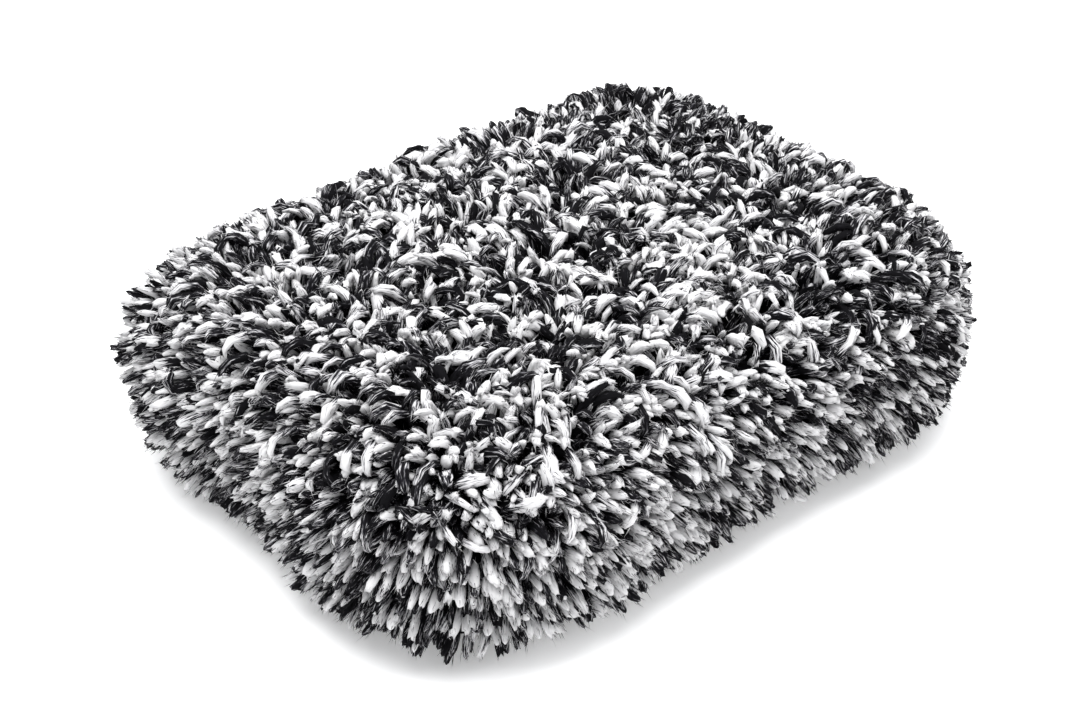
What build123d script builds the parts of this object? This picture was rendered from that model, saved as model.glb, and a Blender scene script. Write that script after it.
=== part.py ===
"""A plush wash mitt: two pile panels sewn together round their edge, with foam, a lining and a rib cuff.

The mitt lies on its lower pile. X runs from the finger end to the wrist end, Y across the hand and
Z up. The origin is on the surface that the mitt rests on, under the middle of the pile. Units are mm.

Each half is a nest of dished layers. From the pile tips inwards they are the pile, the ground cloth
that the pile is tufted into, a foam sheet and the lining of the hand pocket. A layer's place is a
depth under the pile tips, and every face is worked out from such a depth, so that layers always meet.
"""

import math
import os
from collections import namedtuple

from build123d import *

# Plan of the mitt, over the tips of the pile
body_length = 290.0
body_width = 220.0
corner_radius = 70.0
end_waist = 3.5  # how far each short end is drawn in between its corners
side_waist = 2.0  # how far each long side is drawn in

# Layers of each half, from the tips inwards
pile_length = 24.0
pressed_pile_length = 21.0  # the lower pile, under the weight of the mitt
cloth_thickness = 1.2
foam_thickness = 5.0
lining_thickness = 0.8
pocket_room = 2.0  # the pocket is this much higher than the cuff, above it and below it

# Roundness of the edges
upper_edge_round = 36.0
lower_edge_round = 33.0
least_round = 2.5  # no inner layer is bent tighter than this
crown_drop = 7.0  # the top swells: it is this much lower over the corners of the plan than in the middle
pile_parting = 5.0  # the two piles part this far from each other at the seam

# The seam where the two halves meet, turned into the pocket
seam_allowance = 8.0
tape_thickness = 0.8
tape_reach = 6.5  # how far the binding tape covers the allowance
stitch_width = 0.8
stitch_height = 0.4
stitch_length = 6.0
stitch_gap = 3.0

# The rib cuff, a tube with a slot-shaped section, folded double at its outer end
cuff_margin = 47.0  # from the pile tips at each side of the mitt to the cuff
cuff_height = 21.0
cuff_layer = 1.2  # one of the two layers of rib knit
cuff_reach = 5.0  # how far the cuff stands out past the pile tips
cuff_fold_round = 1.1
rib_pitch = 3.2
rib_radius = 1.1
rib_height = 0.7
elastic_width = 8.0
elastic_thickness = 0.8
hem_margin = 1.5  # from the elastic to the hem stitches
hem_stitch_length = 2.5
pile_clearance = 1.0  # between the ribs and the pile around them
mouth_tape_width = 6.0
mouth_clearance = 2.0  # between the cuff's tape and the cut ends of the seam allowance
wall_clearance = 1.0  # between the cuff's tape and the wall of the pocket

# Depths under the pile tips, along the sides of the mitt
cloth_depth = pile_length
foam_depth = cloth_depth + cloth_thickness
lining_depth = foam_depth + foam_thickness
pocket_depth = lining_depth + lining_thickness
flange_depth = pocket_depth + seam_allowance
layers_under_pile = pocket_depth - cloth_depth

cuff_width = body_width - 2 * cuff_margin
pocket_height = cuff_height + 2 * pocket_room
half_height_inside = layers_under_pile + pocket_height / 2
seam_height = pressed_pile_length + half_height_inside
flange_stack = cloth_thickness + lining_thickness  # one half's share of the seam allowance
tape_top = flange_stack + tape_thickness
tape_depth = flange_depth - tape_reach

crown_reach = math.hypot(body_length, body_width) / 2
crown_radius = (crown_reach**2 + crown_drop**2) / (2 * crown_drop)

Half = namedtuple("Half", "name side pile edge_round")
upper = Half("upper", 1, pile_length, upper_edge_round)
lower = Half("lower", -1, pressed_pile_length, lower_edge_round)


def waist_radius(run, waist):
    """Radius of the hollow arc that draws a side in, between two corners whose centres are a run apart."""
    return ((run / 2) ** 2 + waist**2) / (2 * waist) - corner_radius


end_radius = waist_radius(body_width - 2 * corner_radius, end_waist)
side_radius = waist_radius(body_length - 2 * corner_radius, side_waist)


def plan_face(depth):
    """The mitt's plan at a depth under the pile tips: round corners joined by hollow sides."""
    corner = Vector(body_length / 2 - corner_radius, body_width / 2 - corner_radius)
    to_end = (Vector(body_length / 2 - end_waist + end_radius, 0) - corner).normalized()
    to_side = (Vector(0, body_width / 2 - side_waist + side_radius) - corner).normalized()
    round_size = corner_radius - depth
    end_point = corner + to_end * round_size
    bulge_point = corner + (to_end + to_side).normalized() * round_size
    side_point = corner + to_side * round_size
    with BuildSketch() as plan:
        with BuildLine():
            ThreePointArc(end_point, bulge_point, side_point)
            mirror(about=Plane.YZ)
            mirror(about=Plane.XZ)
            for way in (1, -1):
                side_middle = way * (body_width / 2 - side_waist - depth)
                end_middle = way * (body_length / 2 - end_waist - depth)
                ThreePointArc((side_point.X, way * side_point.Y), (0, side_middle),
                              (-side_point.X, way * side_point.Y))
                ThreePointArc((way * end_point.X, end_point.Y), (end_middle, 0),
                              (way * end_point.X, -end_point.Y))
        make_face()
    return plan.sketch


def slab(depth, reach):
    """The plan at a depth under the pile tips, reaching up and down from the seam."""
    with BuildPart() as block:
        with BuildSketch(Plane.XY.offset(seam_height)):
            add(plan_face(depth))
        extrude(amount=reach, both=True)
    return block.part


def dish(half, depth, base=0.0):
    """One half of the mitt within a depth under the tips, from a base above the seam, its rim rounded.

    The tips of the upper pile make a low crown, whose drop is taken off the round of its rim. The lower
    pile is flat, because the mitt lies on it.
    """
    crowned = depth == 0 and half.side > 0
    height = half_height_inside - (depth - cloth_depth)
    if depth == 0:
        height = half_height_inside + half.pile
    with BuildPart() as form:
        with BuildSketch(Plane.XY.offset(seam_height + half.side * base)):
            add(plan_face(depth))
        extrude(amount=half.side * (height - base))
        if crowned:
            with Locations((0, 0, seam_height + height - crown_radius)):
                Sphere(crown_radius, mode=Mode.INTERSECT)
        far_face = form.faces().sort_by(Axis.Z)[-1 if half.side > 0 else 0]
        fillet(far_face.edges(), max(half.edge_round - (crown_drop if crowned else depth), least_round))
    return form.part


def cuff_section(grow):
    """The cuff's slot-shaped section, larger all round by the given amount."""
    with BuildSketch() as section:
        SlotOverall(cuff_width + 2 * grow, cuff_height + 2 * grow)
    return section.sketch


def across(x):
    """The plane across the mitt at a place along X, with its origin at the height of the seam."""
    return Plane((x, 0, seam_height), x_dir=(0, 1, 0), z_dir=(1, 0, 0))


def cuff_tube(grow, start, end):
    """A solid of the cuff's section along X, larger all round by the given amount."""
    with BuildPart() as tube:
        with BuildSketch(across(start)):
            add(cuff_section(grow))
        extrude(amount=end - start)
    return tube.part


def places_along(face, pitch):
    """Places evenly spaced round the edge of a flat face, each turned to follow the edge."""
    edge = face.wire()
    count = round(edge.length / pitch)
    places = []
    for i in range(count):
        along = Plane(edge.position_at(i / count), x_dir=edge.tangent_at(i / count), z_dir=(0, 0, 1))
        places.append(along.location)
    return places


def finish(part, name):
    """Labels a finished piece and writes its STEP file."""
    part.label = name
    export_step(part, f"parts/{name}.step")


os.makedirs("parts", exist_ok=True)

# Where the cuff lies along X. Its tape stays clear of the pocket's wall, also where the corners curve in.
mouth_half_width = cuff_width / 2 + tape_thickness
past_corner_centre = max(mouth_half_width - (body_width / 2 - corner_radius), 0)
corner_reach = math.sqrt((corner_radius - pocket_depth) ** 2 - past_corner_centre**2)
corner_wall = body_length / 2 - corner_radius + corner_reach
middle_wall = body_length / 2 - end_waist - pocket_depth
mouth_tape_end = min(corner_wall, middle_wall) - wall_clearance
cuff_start = mouth_tape_end - mouth_tape_width
rib_start = body_length / 2 - cloth_depth
cuff_end = body_length / 2 + cuff_reach
elastic_end = cuff_end - cuff_layer
elastic_start = elastic_end - elastic_width
hem_line = elastic_start - hem_margin
cuff_wall = 2 * cuff_layer + elastic_thickness

wrist_hole = cuff_tube(0, 0, cuff_end)
pile_hole = cuff_tube(rib_height + pile_clearance, 0, cuff_end)

# The seam allowance and its tape stop on each side of the cuff
with BuildPart() as mouth_gap:
    with Locations((0, 0, seam_height)):
        Box(body_length, 2 * (mouth_half_width + mouth_clearance), pocket_height,
            align=(Align.MIN, Align.CENTER, Align.CENTER))
with BuildPart() as mouth_room:
    add(mouth_gap.part)
    add(slab(pocket_depth, pocket_height), mode=Mode.INTERSECT)

for half in (upper, lower):
    under_pile = dish(half, cloth_depth)
    under_cloth = dish(half, foam_depth, cloth_thickness)
    under_foam = dish(half, lining_depth, cloth_thickness)
    under_lining = dish(half, pocket_depth, flange_stack)
    inside_flange = slab(flange_depth, flange_stack)

    # The pile: thousands of yarn tufts, as the one soft mass that they make
    with BuildPart() as pile:
        add(dish(half, 0))
        seam_face = pile.faces().filter_by(Plane.XY).sort_by(Axis.Z)[0 if half.side > 0 else -1]
        fillet(seam_face.edges(), pile_parting)
        add(under_pile, mode=Mode.SUBTRACT)
        add(pile_hole, mode=Mode.SUBTRACT)
    finish(pile.part, f"{half.name}_pile")

    # The knitted cloth that holds the tufts, with its seam allowance turned inwards
    with BuildPart() as ground_cloth:
        add(under_pile)
        add(under_cloth, mode=Mode.SUBTRACT)
        add(inside_flange, mode=Mode.SUBTRACT)
        add(wrist_hole, mode=Mode.SUBTRACT)
        add(mouth_room.part, mode=Mode.SUBTRACT)
    finish(ground_cloth.part, f"{half.name}_ground_cloth")

    # The foam sheet, trimmed back from the seam allowance
    with BuildPart() as foam:
        add(under_cloth)
        add(under_foam, mode=Mode.SUBTRACT)
        add(wrist_hole, mode=Mode.SUBTRACT)
    finish(foam.part, f"{half.name}_foam")

    # The lining of the hand pocket, sewn into the same seam
    with BuildPart() as lining:
        add(under_foam)
        add(under_lining, mode=Mode.SUBTRACT)
        add(inside_flange, mode=Mode.SUBTRACT)
        add(wrist_hole, mode=Mode.SUBTRACT)
        add(mouth_room.part, mode=Mode.SUBTRACT)
    finish(lining.part, f"{half.name}_lining")

# Binding tape folded round the raw edges of the seam allowance
with BuildPart() as edge_binding:
    add(slab(tape_depth, tape_top))
    add(slab(tape_depth, flange_stack), mode=Mode.SUBTRACT)
    add(slab(flange_depth, flange_stack))
    add(slab(flange_depth + tape_thickness, tape_top), mode=Mode.SUBTRACT)
    add(mouth_gap.part, mode=Mode.SUBTRACT)
finish(edge_binding.part, "edge_binding")

# Running stitches through the binding, above and below
stitch_line = flange_depth - tape_reach / 2
with BuildPart() as edge_stitching:
    with BuildSketch(Plane.XY.offset(seam_height + tape_top)):
        add(plan_face(stitch_line - stitch_width / 2))
        add(plan_face(stitch_line + stitch_width / 2), mode=Mode.SUBTRACT)
        with Locations(*places_along(plan_face(stitch_line), stitch_length + stitch_gap)):
            Rectangle(stitch_gap, 3 * stitch_width, mode=Mode.SUBTRACT)
    extrude(amount=stitch_height)
    mirror(about=Plane.XY.offset(seam_height))
    add(mouth_gap.part, mode=Mode.SUBTRACT)
finish(edge_stitching.part, "edge_stitching")

# The cuff: two layers of knit with a space between them that is open towards the pocket
rib_places = places_along(cuff_section(rib_height - rib_radius), rib_pitch)
with BuildPart() as rib_cuff:
    add(cuff_tube(0, cuff_start, cuff_end))
    fillet(rib_cuff.faces().sort_by(Axis.X)[-1].edges(), cuff_fold_round)
    with BuildSketch(across(rib_start)):
        with Locations(*rib_places):
            Circle(rib_radius)
    extrude(amount=cuff_end - cuff_fold_round - rib_start)
    add(cuff_tube(-cuff_layer, cuff_start, elastic_end), mode=Mode.SUBTRACT)
    add(cuff_tube(-cuff_layer - elastic_thickness, cuff_start, elastic_end))
    add(cuff_tube(-cuff_wall, cuff_start, cuff_end), mode=Mode.SUBTRACT)
    fold_edges = rib_cuff.faces().filter_by(Plane.YZ).sort_by(Axis.X)[-1].inner_wires()[0].edges()
    fillet(fold_edges, cuff_fold_round)
finish(rib_cuff.part, "rib_cuff")

# The elastic, held between the two layers against the fold
with BuildPart() as cuff_elastic:
    add(cuff_tube(-cuff_layer, elastic_start, elastic_end))
    add(cuff_tube(-cuff_layer - elastic_thickness, elastic_start, elastic_end), mode=Mode.SUBTRACT)
finish(cuff_elastic.part, "cuff_elastic")

# Hem stitches in the valleys between the ribs, just inside the elastic
with BuildPart() as hem_stitching:
    with BuildSketch(across(hem_line - hem_stitch_length)):
        add(cuff_section(stitch_height))
        add(cuff_section(0), mode=Mode.SUBTRACT)
        with Locations(*rib_places):
            Rectangle(rib_pitch - stitch_width, 4 * rib_height, mode=Mode.SUBTRACT)
    extrude(amount=hem_stitch_length)
finish(hem_stitching.part, "hem_stitching")

# Tape that covers the joint of the cuff, inside the pocket
with BuildPart() as mouth_tape:
    add(cuff_tube(tape_thickness, cuff_start, mouth_tape_end))
    add(cuff_tube(0, cuff_start, mouth_tape_end), mode=Mode.SUBTRACT)
finish(mouth_tape.part, "mouth_tape")

# Running stitches round the tape
mouth_line = (cuff_start + mouth_tape_end - stitch_width) / 2
with BuildPart() as mouth_stitching:
    with BuildSketch(across(mouth_line)):
        add(cuff_section(tape_thickness + stitch_height))
        add(cuff_section(tape_thickness), mode=Mode.SUBTRACT)
        with Locations(*places_along(cuff_section(tape_thickness), stitch_length + stitch_gap)):
            Rectangle(stitch_gap, 4 * stitch_height, mode=Mode.SUBTRACT)
    extrude(amount=stitch_width)
finish(mouth_stitching.part, "mouth_stitching")
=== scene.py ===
# %% [markdown]
# # A plush wash mitt
#
# The mitt is two panels of shaggy microfibre pile sewn together round their edge, with foam and a lining
# inside and a ribbed cuff at the wrist end. The pile is what everyone sees, so most of this lesson is about
# yarn tufts: how one tuft is modelled, and how thousands of copies are laid side by side like real pile.
#
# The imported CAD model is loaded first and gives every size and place. X runs from the finger end to the
# wrist end, Y across the hand and Z up. Sizes in this script are in metres.

import math

import bpy
import bmesh
import numpy as np
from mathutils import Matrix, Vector


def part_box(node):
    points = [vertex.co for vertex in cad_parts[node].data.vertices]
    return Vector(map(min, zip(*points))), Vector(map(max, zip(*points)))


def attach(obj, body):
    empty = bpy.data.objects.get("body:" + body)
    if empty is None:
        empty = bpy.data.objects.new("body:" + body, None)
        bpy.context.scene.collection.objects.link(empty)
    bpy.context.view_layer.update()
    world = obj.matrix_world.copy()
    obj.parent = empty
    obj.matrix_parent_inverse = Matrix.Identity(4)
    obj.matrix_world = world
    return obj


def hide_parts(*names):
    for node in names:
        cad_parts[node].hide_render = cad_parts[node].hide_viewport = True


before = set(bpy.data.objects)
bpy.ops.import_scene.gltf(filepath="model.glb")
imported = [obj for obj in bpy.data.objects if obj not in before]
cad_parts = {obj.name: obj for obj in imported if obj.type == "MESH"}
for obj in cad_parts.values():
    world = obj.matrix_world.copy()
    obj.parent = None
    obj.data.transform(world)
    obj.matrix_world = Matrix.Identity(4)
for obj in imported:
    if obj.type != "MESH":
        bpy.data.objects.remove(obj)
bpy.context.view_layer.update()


MM = 0.001
pile_low, pile_high = (np.array(c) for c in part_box("upper_pile"))
seam_height = float(pile_low[2])
body_length = float(pile_high[0] - pile_low[0])
body_width = float(pile_high[1] - pile_low[1])
body_height = float(pile_high[2])
body_middle = Vector((0, 0, seam_height))
print("nodes:", len(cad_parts), "length, width, height in mm:",
      [round(size / MM, 1) for size in (body_length, body_width, body_height)])

# %% [markdown]
# ## The camera, the floor and the light
#
# The mitt lies on a white studio floor. The camera stands off its near left corner, about 34 degrees above
# the floor. It was placed first, because what it sees decides where detail is worth the work. A large soft
# lamp overhead lights the tips and lets the roots fall into shade, and a small one from the right lights
# the long side. The sky is brighter overhead than at the horizon for the same reason. The floor glows a
# little, which keeps it white and its shadows soft.

# %% Camera
CAMERA_TURN = math.radians(-40.5)
CAMERA_RISE = math.radians(33.5)
CAMERA_DISTANCE = 0.6712
LENS_MM = 60.84
SENSOR_MM = 36.0
camera_target = Vector((-0.0225, -0.0119, body_height / 2))

away = Vector((math.sin(CAMERA_TURN) * math.cos(CAMERA_RISE),
               -math.cos(CAMERA_TURN) * math.cos(CAMERA_RISE),
               math.sin(CAMERA_RISE)))
bpy.ops.object.camera_add(location=camera_target + away * CAMERA_DISTANCE)
camera = bpy.context.object
camera.name = "studio_camera"
camera.rotation_euler = away.to_track_quat("Z", "Y").to_euler()
camera.data.lens = LENS_MM
camera.data.sensor_width = SENSOR_MM
camera.data.clip_start = 0.01
bpy.context.scene.camera = camera
print("camera at", [round(x, 3) for x in camera.location])


# %% Material helpers
def new_material(name):
    """A material with a Principled shader, and the parts needed to add nodes to it."""
    material = bpy.data.materials.new(name)
    material.use_nodes = True
    tree = material.node_tree
    return material, tree, tree.nodes["Principled BSDF"]


def node(tree, kind, inputs=None, **settings):
    """Adds a node, sets its properties, and sets or links its inputs."""
    made = tree.nodes.new(kind)
    for name, value in settings.items():
        setattr(made, name, value)
    for name, value in (inputs or {}).items():
        if isinstance(value, bpy.types.NodeSocket):
            tree.links.new(value, made.inputs[name])
        else:
            made.inputs[name].default_value = value
    return made


def calc(tree, operation, *values):
    """The result of a Math node on numbers or sockets."""
    return node(tree, "ShaderNodeMath", dict(enumerate(values)), operation=operation).outputs["Value"]


def ramp(tree, factor, stops):
    """A colour ramp through (position, grey or colour) stops."""
    made = node(tree, "ShaderNodeValToRGB", {"Fac": factor})
    while len(made.color_ramp.elements) < len(stops):
        made.color_ramp.elements.new(0.5)
    for element, (place, colour) in zip(made.color_ramp.elements, stops):
        element.position = place
        element.color = (colour, colour, colour, 1) if isinstance(colour, float) else (*colour, 1)
    return made


# %% Floor
FLOOR_GLOW = 0.22
FLOOR_SIDE = 12.0


def floor_material():
    """Matt white studio paper that glows a little."""
    material, tree, shader = new_material("studio_paper")
    grain = node(tree, "ShaderNodeTexNoise", {"Scale": 900.0, "Detail": 2.0})
    tone = ramp(tree, grain.outputs["Fac"], [(0.0, 0.93), (1.0, 0.97)])
    tree.links.new(tone.outputs["Color"], shader.inputs["Base Color"])
    shader.inputs["Roughness"].default_value = 0.9
    shader.inputs["Emission Color"].default_value = (1, 1, 1, 1)
    shader.inputs["Emission Strength"].default_value = FLOOR_GLOW
    return material


bpy.ops.mesh.primitive_plane_add(size=FLOOR_SIDE)
floor = bpy.context.object
floor.name = "studio_floor"
floor.data.materials.append(floor_material())
print("floor:", floor.name)

# %% Lamps and sky
HORIZON_STRENGTH = 0.45
OVERHEAD_STRENGTH = 1.05
BRIGHTEST_FROM = 0.8  # the sine of the height above the horizon from which the sky is at its brightest


def soft_lamp(name, place, size, watts):
    """A square area lamp that looks at the middle of the mitt."""
    bpy.ops.object.light_add(type="AREA", location=place)
    lamp = bpy.context.object
    lamp.name = name
    lamp.data.size = size
    lamp.data.energy = watts
    lamp.rotation_euler = (Vector(place) - body_middle).to_track_quat("Z", "Y").to_euler()
    return lamp


soft_lamp("overhead_lamp", place=(-0.15, 0.0, 1.5), size=1.3, watts=32.0)
soft_lamp("right_lamp", place=(1.1, -1.2, 0.9), size=0.7, watts=6.0)
world = bpy.data.worlds.new("studio_air")
world.use_nodes = True
background = world.node_tree.nodes["Background"]
background.inputs["Color"].default_value = (0.97, 0.98, 1.0, 1)
skyward = node(world.node_tree, "ShaderNodeTexCoord").outputs["Generated"]
sky_axes = node(world.node_tree, "ShaderNodeSeparateXYZ", {"Vector": skyward})
sky_strength = node(world.node_tree, "ShaderNodeMapRange",
                    {"Value": sky_axes.outputs["Z"], "From Min": 0.0, "From Max": BRIGHTEST_FROM,
                     "To Min": HORIZON_STRENGTH, "To Max": OVERHEAD_STRENGTH})
world.node_tree.links.new(sky_strength.outputs["Result"], background.inputs["Strength"])
bpy.context.scene.world = world
bpy.context.scene.view_settings.view_transform = "Standard"

# %% [markdown]
# ## Modelling one tuft
#
# A tuft of plush microfibre is a cut end of soft yarn: narrow where it leaves the cloth, plump like a brush
# further up, and open at the tip where the strands fan out. It could be grown as hair, but hair is a line
# with no thickness of its own and can't be kept as a mesh. So a tuft is modelled as a solid: a short
# cylinder is cut into rings, each ring is scaled to the brush's outline, about every second edge is drawn
# in for the grooves between strands, and the tip is finished blunt, open or pointed. It has a few dozen
# faces, because there will be thousands of copies.

# %% Edit-mode helpers
NEARLY = 1e-4


def deselect_everything():
    """The CAD nodes come in selected, and an operator acts on all that is selected."""
    bpy.ops.object.select_all(action="DESELECT")


def select_where(mesh, wanted):
    """In edit mode, selects only the vertices for which wanted(position) is true."""
    edit = bmesh.from_edit_mesh(mesh)
    for vert in edit.verts:
        vert.select_set(bool(wanted(vert.co)))
    edit.select_flush(True)
    bmesh.update_edit_mesh(mesh)


# %% Model a tuft
GROOVES_FROM = 0.1  # the foot of the tuft has no grooves
STRAND_HALF_TURN = 0.3  # radians to each side of a strand's middle


def model_tuft(name, sides, rings, outline, groove, tip_rise, ragged):
    """One straight tuft of unit height and unit reach, standing on the origin along Z.

    outline holds the reach at the root, at each ring and at the tip. groove draws about every second edge
    in, tip_rise lifts the middle of the tip, and ragged lifts and drops the strands round it.
    """
    deselect_everything()
    bpy.ops.mesh.primitive_cylinder_add(vertices=sides, radius=1.0, depth=1.0,
                                        end_fill_type="TRIFAN", location=(0, 0, 0.5))
    tuft = bpy.context.object
    tuft.name = name
    bpy.ops.object.transform_apply(location=True)
    bpy.ops.object.mode_set(mode="EDIT")
    for height in rings:
        bpy.ops.mesh.select_all(action="SELECT")
        bpy.ops.mesh.bisect(plane_co=(0, 0, height), plane_no=(0, 0, 1))
    for height, reach in zip((0.0, *rings, 1.0), outline):
        select_where(tuft.data, lambda co: abs(co.z - height) < NEARLY)
        bpy.ops.transform.resize(value=(reach, reach, 1), center_override=(0, 0, height))

    def in_groove(co):
        edge = round(math.atan2(co.y, co.x) / (2 * math.pi) * sides)
        return co.xy.length > NEARLY and co.z > GROOVES_FROM and edge % 2 == 1

    select_where(tuft.data, in_groove)
    bpy.ops.transform.resize(value=(groove, groove, 1), center_override=(0, 0, 0.5))
    for number, lift in enumerate(ragged):
        turn = 2 * math.pi * number / len(ragged)

        def on_strand_tip(co):
            off = (math.atan2(co.y, co.x) - turn + math.pi) % (2 * math.pi) - math.pi
            return co.z > 0.999 and co.xy.length > NEARLY and abs(off) < STRAND_HALF_TURN

        select_where(tuft.data, on_strand_tip)
        bpy.ops.transform.translate(value=(0, 0, lift))
    select_where(tuft.data, lambda co: co.z > 0.9 and co.xy.length < NEARLY)
    bpy.ops.transform.translate(value=(0, 0, tip_rise))
    bpy.ops.object.mode_set(mode="OBJECT")
    return tuft


# %% Five kinds of tuft
SIDES, SHORT_SIDES = 7, 6
EVEN_TIP = (0,) * SIDES
RINGS = (0.42, 0.66, 0.82, 0.93)
SHORT_RINGS = (0.36, 0.66, 0.88)
tuft_kinds = [
    model_tuft("plump_tuft", SIDES, RINGS, (0.50, 0.96, 1.08, 1.04, 0.84, 0.48), 0.80, 0.03, EVEN_TIP),
    model_tuft("brush_tuft", SIDES, RINGS, (0.48, 0.94, 1.10, 1.10, 0.94, 0.60), 0.72, 0.02,
               (0.03, -0.02, 0.01, -0.03, 0.03, -0.01, -0.02)),
    model_tuft("slim_tuft", SIDES, RINGS, (0.48, 0.88, 0.94, 0.84, 0.60, 0.28), 0.74, 0.03,
               (0.02, 0, -0.02, 0.01, 0.02, 0, -0.01)),
    model_tuft("open_tuft", SIDES, RINGS, (0.44, 0.90, 1.10, 1.16, 1.06, 0.74), 0.68, 0.0,
               (0.04, -0.04, 0.02, -0.03, 0.04, -0.04, 0.03)),
    model_tuft("short_tuft", SHORT_SIDES, SHORT_RINGS, (0.6, 0.9, 1.0, 0.86, 0.46), 0.84, 0.04,
               (0,) * SHORT_SIDES),
]
for tuft in tuft_kinds:
    print(tuft.name, "has", len(tuft.data.polygons), "faces")


# %% [markdown]
# ## Where the tufts grow
#
# On the real mitt a knitted ground cloth holds the roots at even spacing. Here the roots are scattered over
# the outward faces of the CAD ground cloths, and one is kept only if it is far enough from those kept before
# it. That gives the even but never regular spacing of real pile. Round the edge of the mitt the tips have
# several times as much room as the roots, and the roots stand closer there, or bare cloth would show
# between the tufts. A second, sparser scatter adds short tufts, which fill the gaps further down as the
# crushed and broken yarn does in used pile.

# %% Scatter the roots
ROOT_SPACING = 2.85 * MM
ROOT_TRIES = 140_000
PILE_DEPTH = 24 * MM
CLOTH_EDGE_ROUND = 11 * MM
CLOTH_CORNER_ROUND = 46 * MM
MARGIN, MARGIN_ROOM = 56 * MM, 1.5  # the outer part of the top, whose tufts lean outwards
ROOM_BENEATH = 0.5
LEVEL, UPRIGHT = 0.97, 0.03  # the Z of the normals of faces that are nearly level, or nearly upright
LEAST_OFF_MIDDLE = 5 * MM  # by which a face points away from the middle, to be on the outside of its cloth
body_size = np.array([body_length, body_width])
half_plan = body_size / 2


def outward_faces(node_name):
    """Corners and normals of the triangles of a ground cloth that face away from the pocket."""
    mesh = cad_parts[node_name].data
    mesh.calc_loop_triangles()
    corners, normals = [], []
    for triangle in mesh.loop_triangles:
        points = [mesh.vertices[i].co for i in triangle.vertices]
        centre = sum(points, Vector()) / 3
        if triangle.normal.dot(centre - body_middle) > LEAST_OFF_MIDDLE:
            corners.append(points)
            normals.append(triangle.normal)
    return np.array(corners), np.array(normals)


def fan_out(points, normals):
    """How many times more room than usual the tips have over their roots, at points of the ground cloth.

    Under the mitt, where the tufts lie flat and are out of sight, it is less than one.
    """
    steepness = np.abs(normals[:, 2])
    over_edge = (steepness > UPRIGHT) & (steepness < LEVEL)
    corner_centre = half_plan - PILE_DEPTH - CLOTH_CORNER_ROUND
    round_corner = np.all(np.abs(points[:, :2]) > corner_centre, axis=1) & (steepness < LEVEL)
    from_edge = half_plan - np.abs(points[:, :2])
    near_edge = (normals[:, 2] > LEVEL) & (np.min(from_edge, axis=1) < MARGIN)
    return (np.where(over_edge, 1 + PILE_DEPTH / CLOTH_EDGE_ROUND, 1.0)
            * np.where(round_corner, 1 + PILE_DEPTH / CLOTH_CORNER_ROUND, 1.0)
            * np.where(near_edge, MARGIN_ROOM, 1.0)
            * np.where(normals[:, 2] < -LEVEL, ROOM_BENEATH, 1.0))


def scatter(corners, normals, tries, spacing, rng):
    """Points spread over triangles, none nearer to another than the spacing, closer where tips fan out."""
    edge_a = corners[:, 1] - corners[:, 0]
    edge_b = corners[:, 2] - corners[:, 0]
    areas = np.linalg.norm(np.cross(edge_a, edge_b), axis=1)
    shares = areas * fan_out(corners.mean(axis=1), normals)
    chosen = rng.choice(len(shares), size=tries, p=shares / shares.sum())
    a, b = rng.random((2, tries))
    outside = a + b > 1
    a[outside] = 1 - a[outside]
    b[outside] = 1 - b[outside]
    points = corners[chosen, 0] + a[:, None] * edge_a[chosen] + b[:, None] * edge_b[chosen]
    room = spacing**2 / fan_out(points, normals[chosen])
    cells = np.floor(points / math.sqrt(room.max())).astype(int)
    taken, kept = {}, []
    for i, (point, cell) in enumerate(zip(points, map(tuple, cells))):
        near = (taken.get((cell[0] + x, cell[1] + y, cell[2] + z), ())
                for x in (-1, 0, 1) for y in (-1, 0, 1) for z in (-1, 0, 1))
        if all(np.sum((points[j] - point) ** 2) >= room[i] for group in near for j in group):
            taken.setdefault(cell, []).append(i)
            kept.append(i)
    return points[kept], normals[chosen[kept]]


# %% Long and short tufts on both panels
SHORT_SPACING = 4.5 * MM
SHORT_TRIES = 40_000
SEED_OF_ROOTS, SEED_STEP = 7, 100
roots, root_normals, root_panels, root_short = [], [], [], []
for side, panel in ((1, "upper"), (-1, "lower")):
    for is_short, tries, spacing in ((False, ROOT_TRIES, ROOT_SPACING), (True, SHORT_TRIES, SHORT_SPACING)):
        points, normals = scatter(*outward_faces(panel + "_ground_cloth"), tries, spacing,
                                  np.random.default_rng(SEED_OF_ROOTS + side + SEED_STEP * is_short))
        if is_short:
            in_sight = normals[:, 2] > -LEVEL
            points, normals = points[in_sight], normals[in_sight]
        roots.append(points)
        root_normals.append(normals)
        root_panels.append(np.full(len(points), side))
        root_short.append(np.full(len(points), is_short))
roots, root_normals = np.concatenate(roots), np.concatenate(root_normals)
root_panels, root_short = np.concatenate(root_panels), np.concatenate(root_short)
print("tufts:", len(roots), "of them short:", int(root_short.sum()))

# %% [markdown]
# ## Which way each tuft leans
#
# Real pile is never combed. On top of the mitt the tufts fall over in small groups, a few curl back on
# themselves, and the top stays nearly even because those that bend further are longer. Towards the edge
# they fan outwards, on the sides they point out and droop, and underneath the weight of the mitt presses
# them flat. A tuft's line is a curve that leaves the cloth squarely and turns towards its lean, mostly near
# its tip. That line is worked out here for all tufts at once. The model tufts are then laid along it, as a
# Curve modifier would do.

# %% Smooth random fields
def wavy_field(points, size, rng, channels=1, waves=9):
    """A smooth random value from about -1 to 1 for each point, that changes over a length of about size."""
    total = np.zeros((len(points), channels))
    for _ in range(waves):
        direction = rng.normal(size=(3, channels)) / size
        phase = rng.uniform(0, 2 * math.pi, size=channels)
        total += np.sin(points @ direction + phase)
    return total / math.sqrt(waves / 2) * 0.7


def unit(vectors):
    """Vectors made one long."""
    return vectors / np.maximum(np.linalg.norm(vectors, axis=-1, keepdims=True), 1e-9)


def tangent_part(vectors, normals):
    """What is left of vectors when their part along the normals is taken away."""
    return vectors - np.sum(vectors * normals, axis=-1, keepdims=True) * normals


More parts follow.
